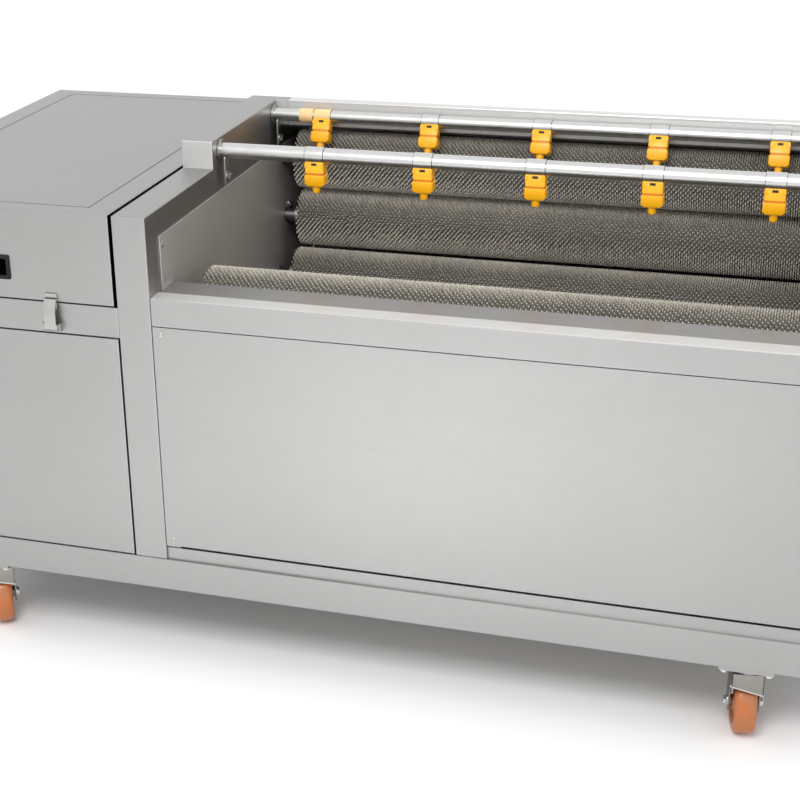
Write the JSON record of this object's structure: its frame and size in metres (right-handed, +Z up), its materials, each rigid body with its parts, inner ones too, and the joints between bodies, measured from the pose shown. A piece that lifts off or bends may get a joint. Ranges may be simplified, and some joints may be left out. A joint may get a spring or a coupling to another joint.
{
  "type": "carrot washing machine",
  "caption": "Stainless brush-roller washing machine for carrots: a drive cabinet with a hinged lid and a trough of driven brush rollers under spray nozzles, on castors.",
  "frame": {"origin": "on the floor, below the middle of the body", "axes": "+X along the rollers from the drive cabinet to the discharge end, +Y from the loading side to the back, +Z up"},
  "size_m": [1.74, 0.878, 0.862],
  "materials": {
    "steel": "brushed grain",
    "liner_steel": "brushed, darker in the trough",
    "pipe_steel": "polished",
    "bristle": "stiff nylon bristle",
    "shaft_steel": "turned",
    "chain_steel": "oiled, dark",
    "amber": "moulded",
    "wheel": "smooth moulded tread",
    "zinc": "bright zinc",
    "black": "moulded",
    "motor_paint": "semi-gloss paint",
    "box_grey": "moulded grey case"
  },
  "bodies": {
    "frame": {"base_frame": "steel", "left_end_frame": "steel", "right_end_frame": "steel", "left_end_plate": "liner_steel", "right_end_plate": "liner_steel", "front_sill": "steel", "front_panel": "steel", "rear_panel": "steel", "rear_rail": "steel", "water_tray": "steel", "drive_cabinet": "steel", "control_box": "box_grey", "gearmotor": "motor_paint", "drive_chain": "chain_steel", "front_spray_pipe": "pipe_steel", "rear_spray_pipe": "pipe_steel", "front_nozzle_1": "amber", "front_nozzle_2": "amber", "front_nozzle_3": "amber", "front_nozzle_4": "amber", "front_nozzle_5": "amber", "rear_nozzle_1": "amber", "rear_nozzle_2": "amber", "rear_nozzle_3": "amber", "rear_nozzle_4": "amber", "rear_nozzle_5": "amber"},
    "roller_1": {"brush_1": "bristle", "roller_shaft_1": "shaft_steel"},
    "roller_2": {"brush_2": "bristle", "roller_shaft_2": "shaft_steel"},
    "roller_3": {"brush_3": "bristle", "roller_shaft_3": "shaft_steel"},
    "roller_4": {"brush_4": "bristle", "roller_shaft_4": "shaft_steel"},
    "roller_5": {"brush_5": "bristle", "roller_shaft_5": "shaft_steel"},
    "roller_6": {"brush_6": "bristle", "roller_shaft_6": "shaft_steel"},
    "roller_7": {"brush_7": "bristle", "roller_shaft_7": "shaft_steel"},
    "roller_8": {"brush_8": "bristle", "roller_shaft_8": "shaft_steel"},
    "motor_output": {"motor_sprocket": "shaft_steel"},
    "lid": {"drive_lid": "steel", "lid_handle": "black"},
    "door": {"cabinet_door": "steel"},
    "lock": {"door_lock": "zinc"},
    "latch_left_lever": {"latch_left": "zinc"},
    "latch_right_lever": {"latch_right": "zinc"},
    "switch": {"power_switch": "black"},
    "flap": {"discharge_flap": "steel"},
    "catch": {"flap_catch": "zinc"},
    "front_left_swivel": {"front_left_castor_fork": "zinc"},
    "front_left_wheel": {"front_left_castor_wheel": "wheel"},
    "front_right_swivel": {"front_right_castor_fork": "zinc"},
    "front_right_wheel": {"front_right_castor_wheel": "wheel"},
    "rear_left_swivel": {"rear_left_castor_fork": "zinc"},
    "rear_left_wheel": {"rear_left_castor_wheel": "wheel"},
    "rear_right_swivel": {"rear_right_castor_fork": "zinc"},
    "rear_right_wheel": {"rear_right_castor_wheel": "wheel"}
  },
  "joints": [
    {"name": "roller_1_spin", "type": "hinge", "parent": "frame", "child": "roller_1", "pos_m": [0, 0.2485, 0.742], "axis": [1, 0, 0], "continuous": true},
    {"name": "roller_2_spin", "type": "hinge", "parent": "frame", "child": "roller_2", "pos_m": [0, 0.2534, 0.6241], "axis": [1, 0, 0], "continuous": true},
    {"name": "roller_3_spin", "type": "hinge", "parent": "frame", "child": "roller_3", "pos_m": [0, 0.20529, 0.51635], "axis": [1, 0, 0], "continuous": true},
    {"name": "roller_4_spin", "type": "hinge", "parent": "frame", "child": "roller_4", "pos_m": [0, 0.11424, 0.44129], "axis": [1, 0, 0], "continuous": true},
    {"name": "roller_5_spin", "type": "hinge", "parent": "frame", "child": "roller_5", "pos_m": [0, -0.0007, 0.41462], "axis": [1, 0, 0], "continuous": true},
    {"name": "roller_6_spin", "type": "hinge", "parent": "frame", "child": "roller_6", "pos_m": [0, -0.1155, 0.44192], "axis": [1, 0, 0], "continuous": true},
    {"name": "roller_7_spin", "type": "hinge", "parent": "frame", "child": "roller_7", "pos_m": [0, -0.20614, 0.51747], "axis": [1, 0, 0], "continuous": true},
    {"name": "roller_8_spin", "type": "hinge", "parent": "frame", "child": "roller_8", "pos_m": [0, -0.25366, 0.62548], "axis": [1, 0, 0], "continuous": true},
    {"name": "motor_output_spin", "type": "hinge", "parent": "frame", "child": "motor_output", "pos_m": [-0.352, 0, 0.72], "axis": [1, 0, 0], "continuous": true},
    {"name": "lid_hinge", "type": "hinge", "parent": "frame", "child": "lid", "pos_m": [-0.62125, 0.4323, 0.658], "axis": [-1, 0, 0], "range_deg": [0, 80]},
    {"name": "door_hinge", "type": "hinge", "parent": "frame", "child": "door", "pos_m": [-0.3765, -0.418, 0.4045], "axis": [0, 0, 1], "range_deg": [0, 105]},
    {"name": "door_lock_turn", "type": "hinge", "parent": "door", "child": "lock", "pos_m": [-0.836, -0.425, 0.365], "axis": [0, -1, 0], "range_deg": [0, 90]},
    {"name": "latch_left_hinge", "type": "hinge", "parent": "frame", "child": "latch_left_lever", "pos_m": [-0.7585, -0.4323, 0.618], "axis": [1, 0, 0], "range_deg": [0, 120]},
    {"name": "latch_right_hinge", "type": "hinge", "parent": "frame", "child": "latch_right_lever", "pos_m": [-0.484, -0.4323, 0.618], "axis": [1, 0, 0], "range_deg": [0, 120]},
    {"name": "power_switch_turn", "type": "hinge", "parent": "frame", "child": "switch", "pos_m": [-0.82, -0.425, 0.6315], "axis": [0, 1, 0], "range_deg": [0, 90]},
    {"name": "discharge_flap_hinge", "type": "hinge", "parent": "frame", "child": "flap", "pos_m": [0.831, 0, 0.53462], "axis": [0, 1, 0], "range_deg": [0, 100]},
    {"name": "flap_catch_turn", "type": "hinge", "parent": "frame", "child": "catch", "pos_m": [0.817, 0, 0.74662], "axis": [1, 0, 0], "range_deg": [0, 90]},
    {"name": "front_left_swivel_turn", "type": "hinge", "parent": "frame", "child": "front_left_swivel", "pos_m": [-0.6645, -0.3805, 0.129], "axis": [0, 0, 1], "continuous": true},
    {"name": "front_left_wheel_spin", "type": "hinge", "parent": "front_left_swivel", "child": "front_left_wheel", "pos_m": [-0.67274, -0.36679, 0.0525], "axis": [0.8572, 0.515, 0], "continuous": true},
    {"name": "front_right_swivel_turn", "type": "hinge", "parent": "frame", "child": "front_right_swivel", "pos_m": [0.6645, -0.3805, 0.129], "axis": [0, 0, 1], "continuous": true},
    {"name": "front_right_wheel_spin", "type": "hinge", "parent": "front_right_swivel", "child": "front_right_wheel", "pos_m": [0.662, -0.3647, 0.0525], "axis": [0.9877, 0.1564, 0], "continuous": true},
    {"name": "rear_left_swivel_turn", "type": "hinge", "parent": "frame", "child": "rear_left_swivel", "pos_m": [-0.6645, 0.3805, 0.129], "axis": [0, 0, 1], "continuous": true},
    {"name": "rear_left_wheel_spin", "type": "hinge", "parent": "rear_left_swivel", "child": "rear_left_wheel", "pos_m": [-0.66783, 0.36485, 0.0525], "axis": [-0.9781, 0.2079, 0], "continuous": true},
    {"name": "rear_right_swivel_turn", "type": "hinge", "parent": "frame", "child": "rear_right_swivel", "pos_m": [0.6645, 0.3805, 0.129], "axis": [0, 0, 1], "continuous": true},
    {"name": "rear_right_wheel_spin", "type": "hinge", "parent": "rear_right_swivel", "child": "rear_right_wheel", "pos_m": [0.66645, 0.36462, 0.0525], "axis": [-0.9925, -0.1219, 0], "continuous": true}
  ],
  "couplings": [
    {"joint": "roller_2_spin", "follows": "roller_1_spin", "ratio": 1},
    {"joint": "roller_3_spin", "follows": "roller_1_spin", "ratio": 1},
    {"joint": "roller_4_spin", "follows": "roller_1_spin", "ratio": 1},
    {"joint": "roller_5_spin", "follows": "roller_1_spin", "ratio": 1},
    {"joint": "roller_6_spin", "follows": "roller_1_spin", "ratio": 1},
    {"joint": "roller_7_spin", "follows": "roller_1_spin", "ratio": 1},
    {"joint": "roller_8_spin", "follows": "roller_1_spin", "ratio": 1},
    {"joint": "motor_output_spin", "follows": "roller_1_spin", "ratio": 1.3636}
  ]
}
